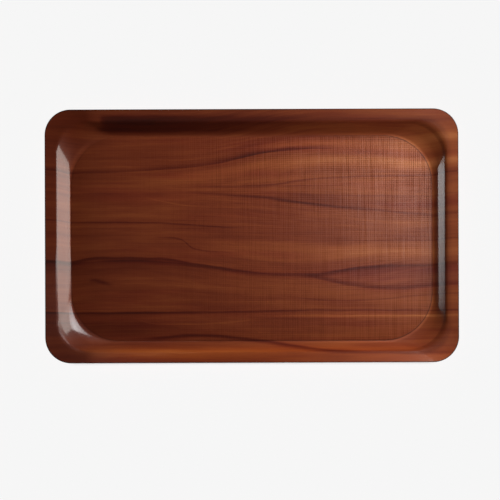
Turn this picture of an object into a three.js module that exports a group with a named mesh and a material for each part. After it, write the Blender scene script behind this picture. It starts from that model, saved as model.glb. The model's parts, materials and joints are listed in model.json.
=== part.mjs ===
// A press-moulded wooden serving tray: cross-banded veneers glued in one dished stack, with a
// woven-textured non-slip film on the floor of the well.
// Millimetres, +Z up. The origin is the middle of the underside, X runs along the tray.
import * as THREE from "three";
import { LoftGeometry } from "three/addons/geometries/LoftGeometry.js";
import { mergeGeometries } from "three/addons/utils/BufferGeometryUtils.js";

// Outline of the rim
const LENGTH = 530;
const WIDTH = 325;
const RIM_CORNER = 33;

// Section through the show face: rim, sloping flange, convex bend, straight wall, hollow wall, tight
// fillet, flat floor
const FLANGE_WIDTH = 12.5;
const BAND_WIDTH = 28.5; // rim to the edge of the flat floor
const FLOOR_CORNER = 63;
const FLANGE_SLOPE = THREE.MathUtils.degToRad(12);
const WALL_SLOPE = THREE.MathUtils.degToRad(50);
const BEND_RADIUS = 6;
const HOLLOW_RADIUS = 21;
const FILLET_SLOPE = THREE.MathUtils.degToRad(33); // where the fillet runs into the hollow wall
const FILLET_RADIUS = 4;

// Laminate
const FACE_VENEER = 0.5;
const CORE_PLY = 0.5;
const CORE_PLIES = 5;
const GLUE_LINE = 0.1;
const LAMINATE = 2 * FACE_VENEER + CORE_PLIES * CORE_PLY + (CORE_PLIES + 1) * GLUE_LINE;
const FILM = 0.25;
const FILM_MARGIN = 0.4; // bare veneer between the film and the foot of the cove

// Facets
const CORNER_STEPS = 6;
const FILLET_STEPS = 2;
const HOLLOW_STEPS = 2;
const BEND_STEPS = 2;

const ROSEWOOD = { color: 0x6e311d, roughness: 0.3, metalness: 0 };
const WOVEN_FILM = { color: 0x7a3823, roughness: 0.55, metalness: 0 };
const CORE_ALONG = { color: 0xb5895c, roughness: 0.7, metalness: 0 };
const CORE_ACROSS = { color: 0x94683f, roughness: 0.7, metalness: 0 };

// The face's section as rings from the floor out to the rim: distance in from the rim, height
// above the floor, and slope there.
function faceRings() {
  const rings = [{ inset: BAND_WIDTH, height: 0, slope: 0 }];

  // Adds an arc from the last ring on; a hollow arc gets steeper outwards, a round one flatter.
  function addArc(radius, endSlope, steps) {
    const start = rings.at(-1);
    const turned = Math.sign(endSlope - start.slope) * radius;
    for (let i = 1; i <= steps; i++) {
      const slope = THREE.MathUtils.lerp(start.slope, endSlope, i / steps);
      rings.push({
        inset: start.inset - turned * (Math.sin(slope) - Math.sin(start.slope)),
        height: start.height + turned * (Math.cos(start.slope) - Math.cos(slope)),
        slope,
      });
    }
  }

  function addStraight(inset) {
    const start = rings.at(-1);
    const height = start.height + (start.inset - inset) * Math.tan(start.slope);
    rings.push({ inset, height, slope: start.slope });
  }

  addArc(FILLET_RADIUS, FILLET_SLOPE, FILLET_STEPS);
  addArc(HOLLOW_RADIUS, WALL_SLOPE, HOLLOW_STEPS);
  addStraight(FLANGE_WIDTH + BEND_RADIUS * (Math.sin(WALL_SLOPE) - Math.sin(FLANGE_SLOPE)));
  addArc(BEND_RADIUS, FLANGE_SLOPE, BEND_STEPS);
  addStraight(0);
  return rings;
}

// The corners open out with the square of the distance in from the rim, so the well's corners
// are much rounder than the rim's and the wall leans back gently there.
const CORNER_GROWTH = (FLOOR_CORNER - RIM_CORNER) / BAND_WIDTH ** 2;

function cornerRadius(inset) {
  return RIM_CORNER + CORNER_GROWTH * inset ** 2;
}

// One ring of the stack, a given depth below the show face and measured square to it. The rim
// ring is trimmed upright, so there the depth runs straight down.
function ringPoints({ inset, height, slope }, depth) {
  const radius = cornerRadius(inset);
  const centreX = LENGTH / 2 - inset - radius;
  const centreY = WIDTH / 2 - inset - radius;
  const growth = 2 * CORNER_GROWTH * inset;
  const points = [];
  for (let quarter = 0; quarter < 4; quarter++) {
    const signX = quarter === 1 || quarter === 2 ? -1 : 1;
    const signY = quarter > 1 ? -1 : 1;
    for (let step = 0; step <= CORNER_STEPS; step++) {
      const turn = ((step / CORNER_STEPS) * Math.PI) / 2;
      const angle = turn + (quarter * Math.PI) / 2;
      const stretch = (1 + growth) * (Math.cos(turn) + Math.sin(turn)) - growth;
      const lean = Math.atan(Math.tan(slope) / stretch);
      const outwards = radius + (inset > 0 ? depth * Math.sin(lean) : 0);
      const down = inset > 0 ? depth * Math.cos(lean) : depth / Math.cos(lean);
      points.push(
        new THREE.Vector3(
          signX * centreX + outwards * Math.cos(angle),
          signY * centreY + outwards * Math.sin(angle),
          LAMINATE + height - down,
        ),
      );
    }
  }
  return points;
}

// The flat stretch inside a level ring, facing up or turned over to face down.
function flatInside(points, facesUp) {
  const flat = new THREE.ShapeGeometry(new THREE.Shape(points));
  flat.translate(0, 0, points[0].z);
  if (!facesUp) flat.index.array.reverse();
  return flat;
}

// A ply: its underside from the floor out to the rim, then its upper side back to the floor,
// closed by the two flat stretches in the middle.
function plyGeometry(depth, thickness) {
  const rings = faceRings();
  const underside = rings.map((ring) => ringPoints(ring, depth + thickness));
  const upperSide = rings.map((ring) => ringPoints(ring, depth));
  return mergeGeometries([
    flatInside(underside[0], false),
    new LoftGeometry([...underside, ...upperSide.toReversed()]),
    flatInside(upperSide[0], true),
  ]);
}

// The film lies flat inside the edge of the floor.
function filmGeometry() {
  const edge = { inset: BAND_WIDTH + FILM_MARGIN, height: 0, slope: 0 };
  const underside = ringPoints(edge, -GLUE_LINE);
  const upperSide = ringPoints(edge, -GLUE_LINE - FILM);
  return new LoftGeometry([underside, upperSide], { capStart: true, capEnd: true });
}

const group = new THREE.Group();
group.name = "serving_tray";

function add(name, geometry, finish) {
  const mesh = new THREE.Mesh(geometry, new THREE.MeshStandardMaterial(finish));
  mesh.name = name;
  group.add(mesh);
}

add("nonslip_well_film", filmGeometry(), WOVEN_FILM);
add("top_face_veneer", plyGeometry(0, FACE_VENEER), ROSEWOOD);
for (let i = 0; i < CORE_PLIES; i++) {
  const depth = FACE_VENEER + GLUE_LINE + i * (CORE_PLY + GLUE_LINE);
  const grain = i % 2 ? CORE_ALONG : CORE_ACROSS;
  add(`core_ply_${i + 1}`, plyGeometry(depth, CORE_PLY), grain);
}
add("bottom_face_veneer", plyGeometry(LAMINATE - FACE_VENEER, FACE_VENEER), ROSEWOOD);

export default group;
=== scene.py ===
import json
import math

import bmesh
import bpy
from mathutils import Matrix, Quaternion, Vector


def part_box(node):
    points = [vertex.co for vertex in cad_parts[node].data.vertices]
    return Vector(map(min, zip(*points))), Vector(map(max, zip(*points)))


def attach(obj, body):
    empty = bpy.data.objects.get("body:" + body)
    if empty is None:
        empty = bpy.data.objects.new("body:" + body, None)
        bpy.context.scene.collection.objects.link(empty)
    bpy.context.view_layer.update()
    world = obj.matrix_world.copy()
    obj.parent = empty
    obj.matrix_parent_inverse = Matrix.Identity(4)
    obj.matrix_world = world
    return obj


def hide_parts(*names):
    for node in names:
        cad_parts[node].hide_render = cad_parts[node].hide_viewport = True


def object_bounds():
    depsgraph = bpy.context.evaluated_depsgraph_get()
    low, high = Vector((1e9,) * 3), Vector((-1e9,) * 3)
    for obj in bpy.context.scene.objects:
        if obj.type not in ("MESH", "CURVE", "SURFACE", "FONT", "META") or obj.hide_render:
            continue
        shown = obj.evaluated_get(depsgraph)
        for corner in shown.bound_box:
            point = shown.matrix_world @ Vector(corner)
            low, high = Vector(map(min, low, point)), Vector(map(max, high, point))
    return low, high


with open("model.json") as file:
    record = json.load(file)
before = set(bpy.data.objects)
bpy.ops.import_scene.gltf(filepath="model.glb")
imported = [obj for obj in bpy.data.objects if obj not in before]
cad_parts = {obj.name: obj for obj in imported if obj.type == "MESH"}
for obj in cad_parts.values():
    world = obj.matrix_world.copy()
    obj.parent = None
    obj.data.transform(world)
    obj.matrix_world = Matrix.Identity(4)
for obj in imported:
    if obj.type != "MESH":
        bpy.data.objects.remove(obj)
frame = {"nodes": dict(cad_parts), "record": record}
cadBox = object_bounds()
print("frame loaded:", ", ".join(sorted(frame["nodes"])))

mm = 0.001


cameraLook = {
    "height": 640 * mm,  # above the rim
    "place": (-2.8 * mm, -137.6 * mm),
    "lens": 36.0,
    "roll": -0.2,
    "riseInFrame": 0.1866,
}


def addCamera(look):
    data = bpy.data.cameras.new("camera")
    data.sensor_width = 36.0
    data.lens = look["lens"]
    data.shift_y = look["riseInFrame"]
    camera = bpy.data.objects.new("camera", data)
    camera.location = (*look["place"], cadBox[1].z + look["height"])
    camera.rotation_euler = (0, 0, math.radians(look["roll"]))
    bpy.context.scene.collection.objects.link(camera)
    bpy.context.scene.camera = camera


addCamera(cameraLook)
print("camera placed")


# the pressed shape, shared by every ply
trayShape = {
    "rimCorner": 33 * mm,
    "floorCorner": 63 * mm,
    "flangeWidth": 12.5 * mm,
    "bandWidth": 28.5 * mm,
    "flangeSlope": math.radians(12),
    "wallSlope": math.radians(50),
    "bendRadius": 6 * mm,
    "hollowRadius": 21 * mm,
    "filletSlope": math.radians(33),  # where the fillet runs into the hollow wall
    "filletRadius": 4 * mm,
    "cornerSteps": 36,
    "filletSteps": 6,
    "hollowSteps": 8,
    "bendSteps": 8,
}

laminate = {
    "faceVeneer": 0.5 * mm,
    "corePly": 0.5 * mm,
    "glueLine": 0.1 * mm,
    "edgeRound": 0.42 * mm,
    "glueBand": 4 * mm,  # how far in from the rim the resin is modelled
    "glueSkin": 0.004 * mm,  # gap between the resin and the plies
}

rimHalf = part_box("top_face_veneer")[1]
filmLow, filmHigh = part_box("nonslip_well_film")
floorHeight = filmLow.z - laminate["glueLine"]


def faceSection(shape):
    # (inset from the rim, height over the floor, slope), from the floor out to the rim
    rings = [(shape["bandWidth"], 0.0, 0.0)]

    def addArc(radius, endSlope, steps):
        # a hollow arc gets steeper outwards, a round one flatter
        inset, height, startSlope = rings[-1]
        turned = math.copysign(radius, endSlope - startSlope)
        for i in range(1, steps + 1):
            slope = startSlope + (endSlope - startSlope) * i / steps
            away = turned * (math.sin(slope) - math.sin(startSlope))
            rise = turned * (math.cos(startSlope) - math.cos(slope))
            rings.append((inset - away, height + rise, slope))

    def addStraight(endInset):
        # with a ring just inside each end, so that the smooth shading stays level between them
        inset, height, slope = rings[-1]
        for share in (0.06, 0.2, 0.35, 0.5, 0.65, 0.8, 0.9, 1.0):
            away = (inset - endInset) * share
            rings.append((inset - away, height + away * math.tan(slope), slope))

    addArc(shape["filletRadius"], shape["filletSlope"], shape["filletSteps"])
    addArc(shape["hollowRadius"], shape["wallSlope"], shape["hollowSteps"])
    bend = math.sin(shape["wallSlope"]) - math.sin(shape["flangeSlope"])
    addStraight(shape["flangeWidth"] + shape["bendRadius"] * bend)
    addArc(shape["bendRadius"], shape["flangeSlope"], shape["bendSteps"])
    addStraight(0.0)
    return rings


def flangeRing(inset):
    # a ring on the flat of the flange
    rimInset, rimHeight, slope = section[-1]
    return inset, rimHeight - inset * math.tan(slope), slope


section = faceSection(trayShape)
cornerGrowth = (trayShape["floorCorner"] - trayShape["rimCorner"]) / trayShape["bandWidth"] ** 2


def ringPlaces(ring, depth):
    # the places round one ring, a depth below the show face and square to it
    inset, height, slope = ring
    radius = trayShape["rimCorner"] + cornerGrowth * inset**2
    growth = 2 * cornerGrowth * inset
    steps = trayShape["cornerSteps"]
    places = []
    for quarter in range(4):
        signX = -1 if quarter in (1, 2) else 1
        signY = -1 if quarter > 1 else 1
        for step in range(steps + 1):
            turn = step / steps * math.pi / 2
            angle = turn + quarter * math.pi / 2
            stretch = (1 + growth) * (math.cos(turn) + math.sin(turn)) - growth
            lean = math.atan(math.tan(slope) / stretch)
            trimmed = inset < 1e-9  # the rim is sawn upright
            reach = radius + (0 if trimmed else depth * math.sin(lean))
            down = depth / math.cos(lean) if trimmed else depth * math.cos(lean)
            x = signX * (rimHalf.x - inset - radius) + reach * math.cos(angle)
            y = signY * (rimHalf.y - inset - radius) + reach * math.sin(angle)
            places.append(Vector((x, y, floorHeight + height - down)))
    return places


def sweepRings(bm, rings):
    # skins a list of rings by extruding the first one from place to place
    around = bm.verts.layers.int.get("around") or bm.verts.layers.int.new("around")
    made = bmesh.ops.create_circle(bm, segments=len(rings[0]), radius=1)["verts"]
    for i, vert in enumerate(made):
        vert[around] = i
        vert.co = rings[0][i]
    loop = list({edge for vert in made for edge in vert.link_edges})
    loops = [loop]
    for places in rings[1:]:
        pulled = bmesh.ops.extrude_edge_only(bm, edges=loop)["geom"]
        verts = [part for part in pulled if isinstance(part, bmesh.types.BMVert)]
        for vert in verts:
            vert.co = places[vert[around]]
        newVerts = set(verts)
        loop = [
            part
            for part in pulled
            if isinstance(part, bmesh.types.BMEdge) and set(part.verts) <= newVerts
        ]
        loops.append(loop)
    return loops


def finishPiece(name, bm, material, replaced, sharpAngle=35):
    bmesh.ops.recalc_face_normals(bm, faces=bm.faces)
    for face in bm.faces:
        face.smooth = True
    mesh = bpy.data.meshes.new(name)
    bm.to_mesh(mesh)
    bm.free()
    mesh.set_sharp_from_angle(angle=math.radians(sharpAngle))
    mesh.materials.append(material)
    piece = bpy.data.objects.new(name, mesh)
    bpy.context.scene.collection.objects.link(piece)
    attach(piece, "root")
    if replaced:
        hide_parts(replaced)
    return piece


class Wire:
    # a node's output that can be added, multiplied and so on

    def __init__(self, finish, socket):
        self.finish = finish
        self.socket = socket

    def sum(self, operation, *values):
        inputs = dict(enumerate(values))
        return self.finish.node("ShaderNodeMath", {"operation": operation}, inputs)

    def __add__(self, other):
        return self.sum("ADD", self, other)

    __radd__ = __add__

    def __sub__(self, other):
        return self.sum("SUBTRACT", self, other)

    def __rsub__(self, other):
        return self.sum("SUBTRACT", other, self)

    def __mul__(self, other):
        return self.sum("MULTIPLY", self, other)

    __rmul__ = __mul__

    def __truediv__(self, other):
        return self.sum("DIVIDE", self, other)

    def __abs__(self):
        return self.sum("ABSOLUTE", self)

    def wave(self):
        return self.sum("SINE", self)

    def atLeast(self, other):
        return self.sum("MAXIMUM", self, other)

    def atMost(self, other):
        return self.sum("MINIMUM", self, other)

    def root(self):
        return self.sum("SQRT", self)

    def fade(self, start, end):
        # 0 at start, 1 at end, eased
        settings = {"interpolation_type": "SMOOTHSTEP"}
        return self.finish.node(
            "ShaderNodeMapRange", settings, {"Value": self, "From Min": start, "From Max": end}
        )


class Finish:
    def __init__(self, name):
        self.material = bpy.data.materials.new(name)
        self.material.use_nodes = True
        self.tree = self.material.node_tree
        self.shader = self.tree.nodes["Principled BSDF"]
        place = self.node("ShaderNodeTexCoord", output="Object")
        inMm = self.node("ShaderNodeMapping", {}, {"Vector": place, "Scale": (1 / mm,) * 3})
        split = self.node("ShaderNodeSeparateXYZ", {}, {"Vector": inMm})
        self.x, self.y, self.z = (Wire(self, s) for s in split.socket.node.outputs)

    def node(self, kind, settings=None, inputs=None, output=0):
        made = self.tree.nodes.new(kind)
        for key, value in (settings or {}).items():
            if key == "stops":
                self.setStops(made.color_ramp, value)
            elif key == "curve":
                self.setCurve(made.mapping, value)
            else:
                setattr(made, key, value)
        for key, value in (inputs or {}).items():
            self.plug(made.inputs[key], value)
        return Wire(self, made.outputs[output])

    def setStops(self, ramp, stops):
        while len(ramp.elements) < len(stops):
            ramp.elements.new(1.0)
        for element, (place, colour) in zip(ramp.elements, stops):
            element.position = place
            element.color = (*colour, 1.0)

    def setCurve(self, mapping, places):
        points = mapping.curves[0].points
        points[0].location, points[1].location = places[0], places[-1]
        for place in places[1:-1]:
            points.new(*place)
        mapping.extend = "HORIZONTAL"
        for point in points:
            point.handle_type = "AUTO_CLAMPED"
        mapping.update()

    def plug(self, socket, value):
        if isinstance(value, Wire):
            self.tree.links.new(value.socket, socket)
        else:
            socket.default_value = value

    def noise(self, x, y, seed, detail=2.0, roughness=0.5):
        # smooth noise about 0, on a grid of 1 in each direction
        place = self.node("ShaderNodeCombineXYZ", {}, {"X": x, "Y": y, "Z": seed})
        inputs = {"Vector": place, "Scale": 1.0, "Detail": detail, "Roughness": roughness}
        return self.node("ShaderNodeTexNoise", {}, inputs) - 0.5

    def along(self, points, span=340):
        # a value that follows points (place along the tray in mm, value), each within half a span
        length = 2 * rimHalf.x / mm
        settings = {"curve": [(x / length + 0.5, value / span + 0.5) for x, value in points]}
        inputs = {"Value": self.x / length + 0.5}
        return (self.node("ShaderNodeFloatCurve", settings, inputs) - 0.5) * span

    def ramp(self, value, stops):
        return self.node("ShaderNodeValToRGB", {"stops": stops}, {"Fac": value})

    def blend(self, first, second, share, mode="MIX"):
        settings = {"data_type": "RGBA", "blend_type": mode}
        return self.node("ShaderNodeMix", settings, {0: share, 6: first, 7: second}, output=2)

    def bump(self, height, distance, strength=1.0):
        inputs = {"Height": height, "Distance": distance, "Strength": strength}
        return self.node("ShaderNodeBump", {}, inputs)

    def outside(self, inset, corner):
        # mm beyond a rounded rectangle that lies inset from the rim, negative inside it
        qx = abs(self.x) - (rimHalf.x / mm - inset - corner)
        qy = abs(self.y) - (rimHalf.y / mm - inset - corner)
        cx, cy = qx.atLeast(0), qy.atLeast(0)
        return (cx * cx + cy * cy).root() + qx.atLeast(qy).atMost(0) - corner

    def wear(self, colour, roughness, normal=None, coat=None, **fixed):
        self.plug(self.shader.inputs["Base Color"], colour)
        self.plug(self.shader.inputs["Roughness"], roughness)
        if normal:
            self.plug(self.shader.inputs["Normal"], normal)
        if coat:
            self.plug(self.shader.inputs["Coat Weight"], coat)
        for key, value in fixed.items():
            self.shader.inputs[key.replace("_", " ")].default_value = value
        return self.material


# the veneer's colours, dark to pale, how strongly each kind of grain shows, and the painted light
# towards the right end
figure = {
    "stops": [
        (0.0, (0.060, 0.0130, 0.0090)),
        (0.25, (0.118, 0.0190, 0.0095)),
        (0.5, (0.215, 0.0420, 0.0155)),
        (0.75, (0.330, 0.0810, 0.0240)),
        (1.0, (0.470, 0.1450, 0.0460)),
    ],
    "red": (0.96, 0.8, 0.95, 1),
    "mauve": (0.88, 0.85, 1.15, 1),
    "amber": (1.1, 0.9, 0.62, 1),
    "tone": 0.5,
    "broad": 0.3,
    "patch": 0.3,
    "streak": 0.34,
    "fibre": 0.26,
    "pore": 0.09,
    "paintedLightRight": 0.1,  # painted light: the wood made paler towards the right end, where the key lamp stands
    "wander": 2.0,  # mm that a vein strays from its path
}

# each vein's path along the tray, in mm, how softly it ends below and above the path, and how much it
# darkens the wood at places along the way (less than nothing is lighter); the entries marked below are
# painted shade and painted light, not grain
veinsAndPaintedLight = {
    # painted shade: the top flange and wall darkened along the whole top
    "topFlangeShade": ([(-240, 150), (240, 150)], 8, 9, [(-196, 0), (-182, 0.4), (20, 0.28), (265, 0.12)]),
    # painted shade: the top wall darkened at the left, where it faces away from the lamps
    "topWallShade": ([(-190, 141), (200, 141)], 7, 9, [(-205, 0), (-175, 0.3), (-60, 0.2), (60, 0)]),
    "upperMain": (
        [(-240, 86), (-120, 91), (-50, 98), (20, 113), (80, 118)],
        1.6,
        7,
        [(-265, 0.2), (-100, 0.26), (-40, 0.3), (0, 0.42), (70, 0.28), (120, 0)],
    ),
    # partly grain, partly painted light: a darker zone at the left that turns lighter towards the
    # upper right, where the lamps are
    "upperShade": (
        [(-50, 102), (20, 118), (80, 124), (200, 118)],
        12,
        12,
        [(-80, 0), (-20, 0.1), (40, -0.16), (180, -0.2), (265, -0.05)],
    ),
    # partly the wood's paler orange band, partly painted light: lighter towards the upper right, where
    # the lamps are
    "upperGlow": (
        [(-150, 74), (-60, 82), (30, 98), (120, 102), (235, 98)],
        14,
        12,
        [(-180, 0), (-60, -0.12), (40, -0.22), (130, -0.32), (235, -0.36), (265, -0.34)],
    ),
    # painted light: the floor lightened by the upper right corner, where the lamps shine most
    "cornerGlow": ([(180, 128), (262, 128)], 16, 14, [(150, 0), (200, -0.1), (265, -0.26)]),
    "fanTop": ([(-70, 68), (20, 70), (80, 78), (240, 83)], 3, 1.5, [(-90, 0), (-20, 0.2), (265, 0.2)]),
    "fanThird": ([(-30, 66), (60, 69), (240, 71)], 2, 1.2, [(-40, 0), (60, 0.16), (150, 0)]),
    "fanSecond": ([(-20, 62), (90, 57), (240, 55)], 2.5, 1.5, [(0, 0), (130, 0.14), (265, 0.1)]),
    "fanMain": (
        [(-70, 60), (10, 54), (85, 44), (160, 37), (240, 29)],
        3,
        4,
        [(-110, 0), (-40, 0.2), (40, 0.24), (200, 0.2), (265, 0.14)],
    ),
    "fanShade": ([(-20, 58), (90, 50), (240, 44)], 12, 14, [(-40, 0), (120, 0.14), (265, 0.14)]),
    "leftDash": ([(-225, 60), (-150, 59)], 2, 1.2, [(-225, 0), (-200, 0.16), (-150, 0)]),
    "paleHair": ([(-150, 57), (-90, 44), (0, 40)], 1.4, 1.4, [(-150, 0), (-90, -0.14), (20, 0)]),
    "middleLine": (
        [(-240, 22), (-130, 21), (-35, 15)],
        2.6,
        1.2,
        [(-265, 0.2), (-100, 0.22), (-40, 0.2), (10, 0)],
    ),
    "stepLine": (
        [(-120, 2), (-95, 0), (-75, -13), (-30, -18)],
        2.4,
        1.2,
        [(-130, 0), (-90, 0.22), (-40, 0.14), (-10, 0)],
    ),
    "rightLine": ([(80, -3), (240, -3)], 1.6, 1.2, [(80, 0), (150, 0.14), (265, 0.2)]),
    "middleGlow": (
        [(-60, -12), (60, -18), (235, -18)],
        14,
        13,
        [(-90, 0), (-20, -0.16), (60, -0.2), (200, -0.22), (265, -0.18)],
    ),
    "lowerMain": (
        [
            (-240, -31),
            (-200, -25),
            (-120, -26),
            (-70, -34),
            (40, -47),
            (80, -47),
            (150, -37),
            (240, -34),
        ],
        6,
        2.5,
        [(-265, 0.34), (-60, 0.32), (40, 0.24), (120, 0.2), (265, 0.18)],
    ),
    "lowerShade": (
        [(-240, -33), (-160, -29), (-60, -38)],
        22,
        3,
        [(-265, 0.22), (-120, 0.22), (-40, 0.1), (20, 0)],
    ),
    "eyeTop": (
        [(60, -50), (110, -43), (160, -38), (240, -36)],
        16,
        2.5,
        [(50, 0), (110, 0.12), (180, 0.2), (230, 0.2), (265, 0.1)],
    ),
    "eyeFoot": (
        [(80, -51), (135, -62), (185, -66), (240, -62)],
        3,
        7,
        [(60, 0), (110, 0.26), (190, 0.26), (265, 0.16)],
    ),
    "underEye": ([(40, -76), (120, -82), (240, -74)], 2, 1.5, [(30, 0), (110, 0.16), (240, 0.1)]),
    "knot": ([(-206, -54), (-185, -60)], 5, 4, [(-215, 0), (-200, 0.2), (-180, 0)]),
    "redPatch": ([(-140, -62), (0, -66)], 12, 12, [(-150, 0), (-90, -0.08), (0, 0)]),
    "footMain": (
        [(-240, -97), (0, -96), (85, -94), (240, -95)],
        3,
        1.6,
        [(-265, 0.3), (-120, 0.28), (0, 0.24), (265, 0.3)],
    ),
    "footShade": ([(-240, -99), (-90, -98)], 8, 4, [(-265, 0.2), (-180, 0.16), (-60, 0)]),
    "footGlow": ([(0, -102), (240, -102)], 3, 3, [(0, 0), (70, -0.2), (230, -0.34), (265, -0.2)]),
    "lowerCurl": (
        [(-170, -98), (-120, -112), (-40, -111), (20, -104)],
        1.5,
        1.5,
        [(-160, 0), (-110, -0.14), (-30, -0.12), (10, 0)],
    ),
    # painted shade: the floor and wall darkened in the bottom left corner
    "cornerShade": ([(-240, -118), (-120, -122)], 16, 22, [(-265, 0.14), (-200, 0.18), (-60, 0)]),
    "edgeDark": (
        [(-140, -131), (-70, -127), (10, -134), (90, -146), (200, -150)],
        5,
        3,
        [(-150, 0), (-90, 0.34), (0, 0.3), (90, 0.34), (150, 0.26), (220, 0.1)],
    ),
    # painted light: the bottom wall and bend lightened, as they face the lamps
    "footEdgeGlow": (
        [(-200, -149), (-60, -149), (240, -153)],
        13,
        11,
        [(-240, 0), (-120, -0.42), (0, -0.26), (80, -0.06), (170, -0.1), (265, -0.04)],
    ),
}


def grainLevel(finish):
    # how high a place lies across the grain, in mm, once the grain's bends are taken out
    x, y = finish.x, finish.y
    lift = 27 * x.fade(-110, 110) * y.fade(52, 120)
    sink = 26 * x.fade(-120, 240) * (y.fade(72, 24) - y.fade(30, -12))
    swell = ((x + 49.5) * (math.pi / 235)).wave() * -10
    belly = y.fade(-92, -44) - y.fade(-38, 10)
    level = y - lift + sink - swell * belly
    level = level + 5 * finish.noise(x * 0.006, y * 0.012, 3.1, 1.0)
    return level + 1.6 * finish.noise(x * 0.03, y * 0.06, 8.4, 2.0)


def woodToneAndPaintedLight(finish, offset, veinedAndPaintedLight):
    x = finish.x
    level = grainLevel(finish) + offset
    tone = figure["tone"] + figure["broad"] * finish.noise(x * 0.0024, level * 0.035, 1.7, 2.0)
    tone = tone + figure["patch"] * finish.noise(x * 0.011, level * 0.08, 23.9, 2.0)
    tone = tone + figure["streak"] * finish.noise(x * 0.006, level * 0.2, 5.2, 3.0, 0.6)
    tone = tone + figure["fibre"] * finish.noise(x * 0.026, level * 1.1, 9.6, 3.0, 0.7)
    pores = finish.noise(x * 0.16, level * 4.0, 2.8, 1.0).fade(0.12, 0.3)
    tone = tone - figure["pore"] * pores
    if veinedAndPaintedLight:
        # painted light: the tone raised towards the right end
        tone = tone + figure["paintedLightRight"] * x.fade(-40, 230)
        strayed = finish.y + figure["wander"] * finish.noise(x * 0.03, finish.y * 0.15, 14.2, 3.0)
        # veins, and the painted shade and painted light marked in the table
        for path, below, above, darkening in veinsAndPaintedLight.values():
            away = strayed - finish.along(path)
            rise = away.fade(-below, 0) * away.fade(above, 0)
            tone = tone - rise * finish.along(darkening, span=2)
    return tone, pores


def veneerColour(finish, offset=0.0, veinedAndPaintedLight=True):
    tone, pores = woodToneAndPaintedLight(finish, offset, veinedAndPaintedLight)
    colour = finish.ramp(tone, figure["stops"])
    redder = finish.noise(finish.x * 0.005, finish.y * 0.04, 6.6, 2.0).fade(0.0, 0.22)
    colour = finish.blend(colour, figure["red"], redder * 0.7, "MULTIPLY")
    if veinedAndPaintedLight:
        eye = (finish.y + 50).fade(-18, -6) * (finish.y + 50).fade(17, 6) * finish.x.fade(75, 150)
        colour = finish.blend(colour, figure["mauve"], eye, "MULTIPLY")
        amber = finish.y.fade(-137, -149) * finish.x.fade(-225, -150)
        colour = finish.blend(colour, figure["amber"], amber, "MULTIPLY")
    return colour, tone, pores


lacquer = {
    "roughness": 0.42,
    "coat": 1.0,
    "coatRoughness": 0.1,
    "backCoat": 0.5,
    "gloss": 0.2,
    "grainRelief": 0.00002,
    "stain": (0.012, 0.004, 0.003, 1),
    "stainReach": 1.5,
    # painted shade on the bend at the right end
    "bend": (0.7, 0.66, 0.66, 1),
    # painted highlight on the fillet by the film's edge
    "lipHighlight": (1.3, 1.4, 1.45, 1),
    "paintedEndShade": (0.62, 0.5, 0.42, 1),  # painted shade: how much darker the wood is made at the left end, along the top flange and in the left corners
    "worn": 0.85,  # how much of the coat is lost on the bend round one corner
}


def lacqueredVeneer(name, offset, coat, withVeinsAndPaintedLight):
    finish = Finish(name)
    colour, tone, pores = veneerColour(finish, offset, withVeinsAndPaintedLight)
    edge = finish.outside(0, trayShape["rimCorner"] / mm)
    ragged = edge + 0.7 * finish.noise(finish.x * 0.3, finish.y * 0.3, 4.4, 3.0)
    colour = finish.blend(colour, lacquer["stain"], ragged.fade(-lacquer["stainReach"], -0.2))
    # painted shade: the flange and corner walls darkened at the left end, and the top flange a little
    flange = finish.outside(15, 40).fade(-1.5, 1.5)
    corners = finish.outside(26, 60).fade(-2, 4) * abs(finish.y).fade(70, 125)
    endShade = finish.x.fade(-195, -235)
    paintedEndShade = (flange * (endShade + 0.15 * finish.y.fade(130, 150)) + corners * endShade).atMost(1)
    colour = finish.blend(colour, lacquer["paintedEndShade"], paintedEndShade, "MULTIPLY")
    # painted shade: the inner flange round the bend darkened at the right end; the same bend mask
    # thins the coat at one corner
    bend = finish.outside(9, 39).fade(2.5, -4.5) * finish.outside(17, 45).fade(-1, 1)
    colour = finish.blend(colour, lacquer["bend"], bend * finish.x.fade(140, 245), "MULTIPLY")
    foot = finish.outside(trayShape["bandWidth"] / mm, trayShape["floorCorner"] / mm)
    rightwards = finish.x.fade(-60, 200)
    # painted shade: a thin dark line where the film meets the wall, stronger towards the right, in the
    # stain colour
    line = foot.fade(-1.0, 0.1) * foot.fade(1.0, 0.1) * (0.85 * rightwards + 0.15)
    colour = finish.blend(colour, lacquer["stain"], line * 0.6)
    # painted highlight: the fillet just outside the film made paler towards the right, for the coat's
    # glint there
    lipHighlight = foot.fade(0.3, 1.3) * foot.fade(4.5, 2.0) * rightwards
    colour = finish.blend(colour, lacquer["lipHighlight"], lipHighlight, "MULTIPLY")
    wornCorner = finish.x.fade(-205, -230) * finish.y.fade(-100, -125)
    smudge = finish.noise(finish.x * 0.02, finish.y * 0.03, 7.7, 3.0, 0.6)
    height = tone * 0.6 - pores * 0.5
    return finish.wear(
        colour,
        smudge * 0.12 + lacquer["roughness"],
        finish.bump(height, lacquer["grainRelief"], 0.5),
        coat=coat * (1 - lacquer["worn"] * bend * wornCorner),
        Coat_Roughness=lacquer["coatRoughness"],
        Coat_IOR=1.5,
        Specular_IOR_Level=lacquer["gloss"],
    )


topVeneerFinish = lacqueredVeneer("lacquered rosewood face", 0.0, lacquer["coat"], True)
bottomVeneerFinish = lacqueredVeneer("lacquered rosewood back", 61.0, lacquer["backCoat"], False)
print("veneer finishes made")


film = {
    "edgeRound": 0.08 * mm,
    "roughness": 0.42,
    "gloss": 0.1,
    "sheen": 0.24,
    "sheenRoughness": 0.38,
    "threads": (2.84, 2.7),  # mm from one stout thread to the next, along and across the tray
    "stout": 0.3,
    "slub": (2.5, 1.1),
    "relief": 0.0002,
    "shade": 0.5,
}


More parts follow.
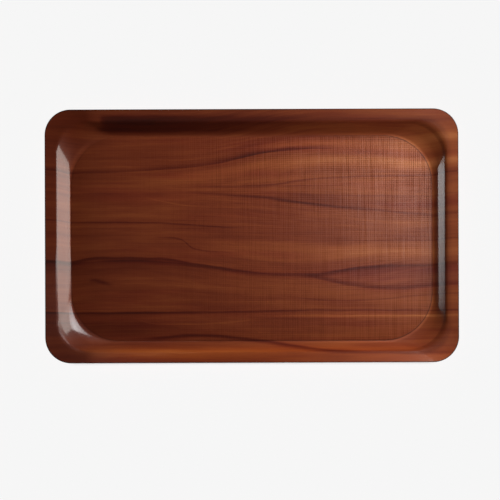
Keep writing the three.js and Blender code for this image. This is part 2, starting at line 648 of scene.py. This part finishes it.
def wovenFilm():
    finish = Finish("woven non-slip film")
    colour, tone, pores = veneerColour(finish)
    x, y = finish.x, finish.y
    stagger = 0.9 * finish.noise(x * 0.05, y * 0.05, 21.0, 2.0)
    warp = ((x + stagger) * (2 * math.pi / film["threads"][0])).wave()
    weft = ((y + stagger) * (2 * math.pi / film["threads"][1])).wave()
    warpSlub = finish.noise(x * 0.58, y * 0.016, 12.5, 1.0, 0.7)
    weftSlub = finish.noise(x * 0.022, y * 0.55, 17.1, 1.0, 0.7)
    weave = film["stout"] * (warp + weft) + film["slub"][0] * warpSlub + film["slub"][1] * weftSlub
    rim = finish.outside(trayShape["bandWidth"] / mm + 0.5, trayShape["floorCorner"] / mm)
    filled = finish.noise(x * 0.012, y * 0.012, 31.0, 3.0) * 90 + x
    reliefAndPaintedShade = filled.fade(-190, 150) * 0.75 + 0.12  # the weave is pressed flatter towards one end, and the painted shade in its hollows fades with it
    reliefAndPaintedShade = reliefAndPaintedShade * (0.75 + 0.45 * y.fade(0, 110))
    # painted shade: the hollows of the weave darkened, most towards the right and the top
    colour = finish.blend(
        colour, (0.0, 0.0, 0.0, 1), reliefAndPaintedShade * film["shade"] * (0.5 - weave).fade(0.0, 2.0), "MIX"
    )
    return finish.wear(
        colour,
        film["roughness"] - 0.1 * weave * reliefAndPaintedShade,
        finish.bump(weave * reliefAndPaintedShade, film["relief"], 0.5),
        coat=film["sheen"] * (0.55 + 1.5 * weave * reliefAndPaintedShade).atLeast(0) * rim.fade(0, -0.8),
        Coat_Roughness=film["sheenRoughness"],
        Specular_IOR_Level=film["gloss"],
    )


wovenFilmFinish = wovenFilm()
print("film finish made")


core = {
    "stain": (0.095, 0.036, 0.017),
    "raw": (0.17, 0.078, 0.036),
    "deep": 0.35,  # the darkest streaks, as a share of the stain
    "relief": 0.00003,
    "gloss": 0.08,
}


def plyEdge(name, alongX):
    # the stained edge: long streaks where the grain runs with the edge, dots where it ends there
    finish = Finish(name)
    x, y, z = finish.x, finish.y, finish.z
    run, across = (x, y) if alongX else (y, x)
    streak = finish.noise(run * 0.06, z * 5.0 + across * 0.9, 3.3, 3.0, 0.6)
    dots = finish.noise(run * 0.5, across * 3.0 + z * 4.0, 5.5, 2.0, 0.6)
    tone = (0.5 + streak * 1.2 + dots * 0.5).fade(0.1, 0.9)
    darkest = tuple(core["deep"] * c for c in core["stain"])
    stops = [(0.0, darkest), (0.55, core["stain"]), (1.0, core["raw"])]
    return finish.wear(
        finish.ramp(tone, stops),
        0.5 - 0.15 * tone,
        finish.bump(tone, core["relief"], 0.5),
        Specular_IOR_Level=core["gloss"],
    )


def glueFinish():
    finish = Finish("dark resin glue")
    patch = finish.noise(finish.x * 0.4, finish.y * 0.4, 2.2, 3.0)
    stops = [(0.0, (0.008, 0.004, 0.003)), (1.0, (0.03, 0.014, 0.008))]
    return finish.wear(
        finish.ramp(patch + 0.5, stops), 0.35 + 0.2 * patch, Specular_IOR_Level=0.15
    )


coreFinishes = {
    "core_along": plyEdge("stained core ply along", True),
    "core_across": plyEdge("stained core ply across", False),
}
resinFinish = glueFinish()
print("core finishes made")


def addPly(name, node, depth, thickness, material, rounded=None):
    bm = bmesh.new()
    underside = [ringPlaces(ring, depth + thickness) for ring in section]
    upperSide = [ringPlaces(ring, depth) for ring in reversed(section)]
    loops = sweepRings(bm, underside + upperSide)
    for loop in (loops[0], loops[-1]):
        bmesh.ops.edgeloop_fill(bm, edges=loop)
    if rounded:
        corner = loops[len(section)] if rounded == "top" else loops[len(section) - 1]
        bmesh.ops.bevel(
            bm,
            geom=corner,
            offset=laminate["edgeRound"],
            affect="EDGES",
            segments=4,
            profile=0.5,
            material=-1,
        )
    return finishPiece(name, bm, material, node)


slotOf = {part["node"]: part["material_slot"] for part in frame["record"]["subparts"]}
coreNodes = sorted(node for node in frame["nodes"] if node.startswith("core_ply"))
pitch = laminate["corePly"] + laminate["glueLine"]
firstCore = laminate["faceVeneer"] + laminate["glueLine"]
bottomDepth = firstCore + len(coreNodes) * pitch

addPly(
    "topFaceVeneer",
    "top_face_veneer",
    0.0,
    laminate["faceVeneer"],
    topVeneerFinish,
    "top",
)
for i, node in enumerate(coreNodes):
    slot = slotOf[node]
    depth = firstCore + i * pitch
    addPly(f"corePly{i + 1}", node, depth, laminate["corePly"], coreFinishes[slot])
addPly(
    "bottomFaceVeneer",
    "bottom_face_veneer",
    bottomDepth,
    laminate["faceVeneer"],
    bottomVeneerFinish,
    "bottom",
)
print("plies made:", len(coreNodes) + 2)


def addGlueLines():
    # the resin between the plies, near the rim where it shows
    bm = bmesh.new()
    skin = laminate["glueSkin"]
    outer, inner = flangeRing(0.0), flangeRing(laminate["glueBand"])
    for i in range(len(coreNodes) + 1):
        top = laminate["faceVeneer"] + i * pitch + skin
        bottom = top + laminate["glueLine"] - 2 * skin
        corners = [(inner, bottom), (outer, bottom), (outer, top), (inner, top)]
        loops = sweepRings(bm, [ringPlaces(ring, depth) for ring, depth in corners])
        bmesh.ops.bridge_loops(bm, edges=loops[0] + loops[-1])
    finishPiece("resinGlueLines", bm, resinFinish, None, 30)


addGlueLines()
print("glue lines made")


def addFilm():
    bm = bmesh.new()
    edge = (rimHalf.x - filmHigh.x, 0.0, 0.0)
    low = ringPlaces(edge, floorHeight - filmLow.z)
    high = ringPlaces(edge, floorHeight - filmHigh.z)
    loops = sweepRings(bm, [low, high])
    for loop in loops:
        bmesh.ops.edgeloop_fill(bm, edges=loop)
    bmesh.ops.bevel(
        bm,
        geom=loops[-1],
        offset=film["edgeRound"],
        affect="EDGES",
        segments=3,
        profile=0.5,
        material=-1,
    )
    finishPiece("wovenWellFilm", bm, wovenFilmFinish, "nonslip_well_film")


addFilm()
print("film made")


studio = {
    "groundSize": 60.0,
    "ground": (0.86, 0.86, 0.86, 1),
    "backdrop": 0.92,
    "groundSun": 3.37,
}

# the key and the fill shape the wood, and the slanted window and the panel are seen in the gloss
softboxes = {
    "keySoftbox": {
        "place": (0.74, 0.38, 0.48),
        "target": (0, 0, 0.05),
        "size": (0.95, 0.9),
        "radiance": 5.0,
        "gloss": False,
    },
    "slantedWindow": {
        "place": (1.508, 0.704, 1.204),
        "target": (-1.175, 0.031, 0),
        "size": (1.17, 2.04),
        "turn": -15,
        "radiance": 4.5,
        "colour": (1, 0.95, 0.88),
        "diffuse": False,
        "lights": ["topFaceVeneer", "wovenWellFilm"],
    },
    "cornerLamp": {
        "place": (-0.151, -0.011, 0.235),
        "target": (-0.235, -0.14, 0),
        "size": (0.075, 0.11),
        "turn": -38,
        "spread": 50,
        "radiance": 0.75,
        "diffuse": False,
        "lights": ["topFaceVeneer"],
    },
    "leftPanel": {
        "place": (-0.9, 0.226, 0.219),
        "target": (0.2, -0.28, 0.03),
        "size": (0.48, 0.125),
        "spread": 70,
        "radiance": 0.9,
        "diffuse": False,
        "lights": ["topFaceVeneer", "wovenWellFilm"],
    },
    "ceilingFill": {
        "place": (0.5, 0.4, 2.2),
        "target": (0, 0, 0),
        "size": (3.0, 3.0),
        "radiance": 0.2,
        "gloss": False,
    },
}


def addGround(look):
    bm = bmesh.new()
    bmesh.ops.create_grid(bm, x_segments=1, y_segments=1, size=look["groundSize"] / 2)
    mesh = bpy.data.meshes.new("ground")
    bm.to_mesh(mesh)
    bm.free()
    finish = Finish("pale ground")
    mottle = finish.noise(finish.x * 0.01, finish.y * 0.01, 1.0)
    mesh.materials.append(finish.wear(look["ground"], 0.9 + 0.05 * mottle, Specular_IOR_Level=0.2))
    ground = bpy.data.objects.new("ground", mesh)
    bpy.context.scene.collection.objects.link(ground)
    return ground


def linkLight(lamp, name, members):
    # the lamp lights only these objects
    lit = bpy.data.collections.new(name)
    for member in members:
        lit.objects.link(member)
    lamp.light_linking.receiver_collection = lit


def addSoftbox(name, look):
    data = bpy.data.lights.new(name, "AREA")
    data.shape = "RECTANGLE"
    data.size, data.size_y = look["size"]
    data.energy = look["radiance"] * math.pi * data.size * data.size_y
    data.spread = math.radians(look.get("spread", 180))
    data.color = look.get("colour", (1, 1, 1))
    lamp = bpy.data.objects.new(name, data)
    lamp.location = look["place"]
    aim = (Vector(look["target"]) - Vector(look["place"])).to_track_quat("-Z", "Y")
    turn = Quaternion((0, 0, 1), math.radians(look.get("turn", 0)))
    lamp.rotation_euler = (aim @ turn).to_euler()
    lamp.visible_glossy = look.get("gloss", True)
    lamp.visible_diffuse = look.get("diffuse", True)
    lamp.visible_camera = False
    bpy.context.scene.collection.objects.link(lamp)
    return lamp


def addStudio():
    ground = addGround(studio)
    trayPieces = [o for o in bpy.context.scene.objects if o.type == "MESH" and o is not ground]
    for name, look in softboxes.items():
        lit = [piece for piece in trayPieces if piece.name in look.get("lights", [piece.name])]
        linkLight(addSoftbox(name, look), name + "Receivers", lit)
    sun = bpy.data.objects.new("groundSun", bpy.data.lights.new("groundSun", "SUN"))
    sun.data.energy = studio["groundSun"]
    sun.data.angle = math.radians(20)
    bpy.context.scene.collection.objects.link(sun)
    linkLight(sun, "groundSunReceivers", [ground])
    world = bpy.data.worlds.new("pale studio")
    world.use_nodes = True
    backdrop = world.node_tree.nodes["Background"]
    backdrop.inputs["Color"].default_value = (1, 1, 1, 1)
    backdrop.inputs["Strength"].default_value = studio["backdrop"]
    for ray in ("diffuse", "glossy", "transmission", "scatter"):
        setattr(world.cycles_visibility, ray, False)
    bpy.context.scene.world = world
    bpy.context.scene.view_settings.view_transform = "Standard"


addStudio()
print("studio lit")
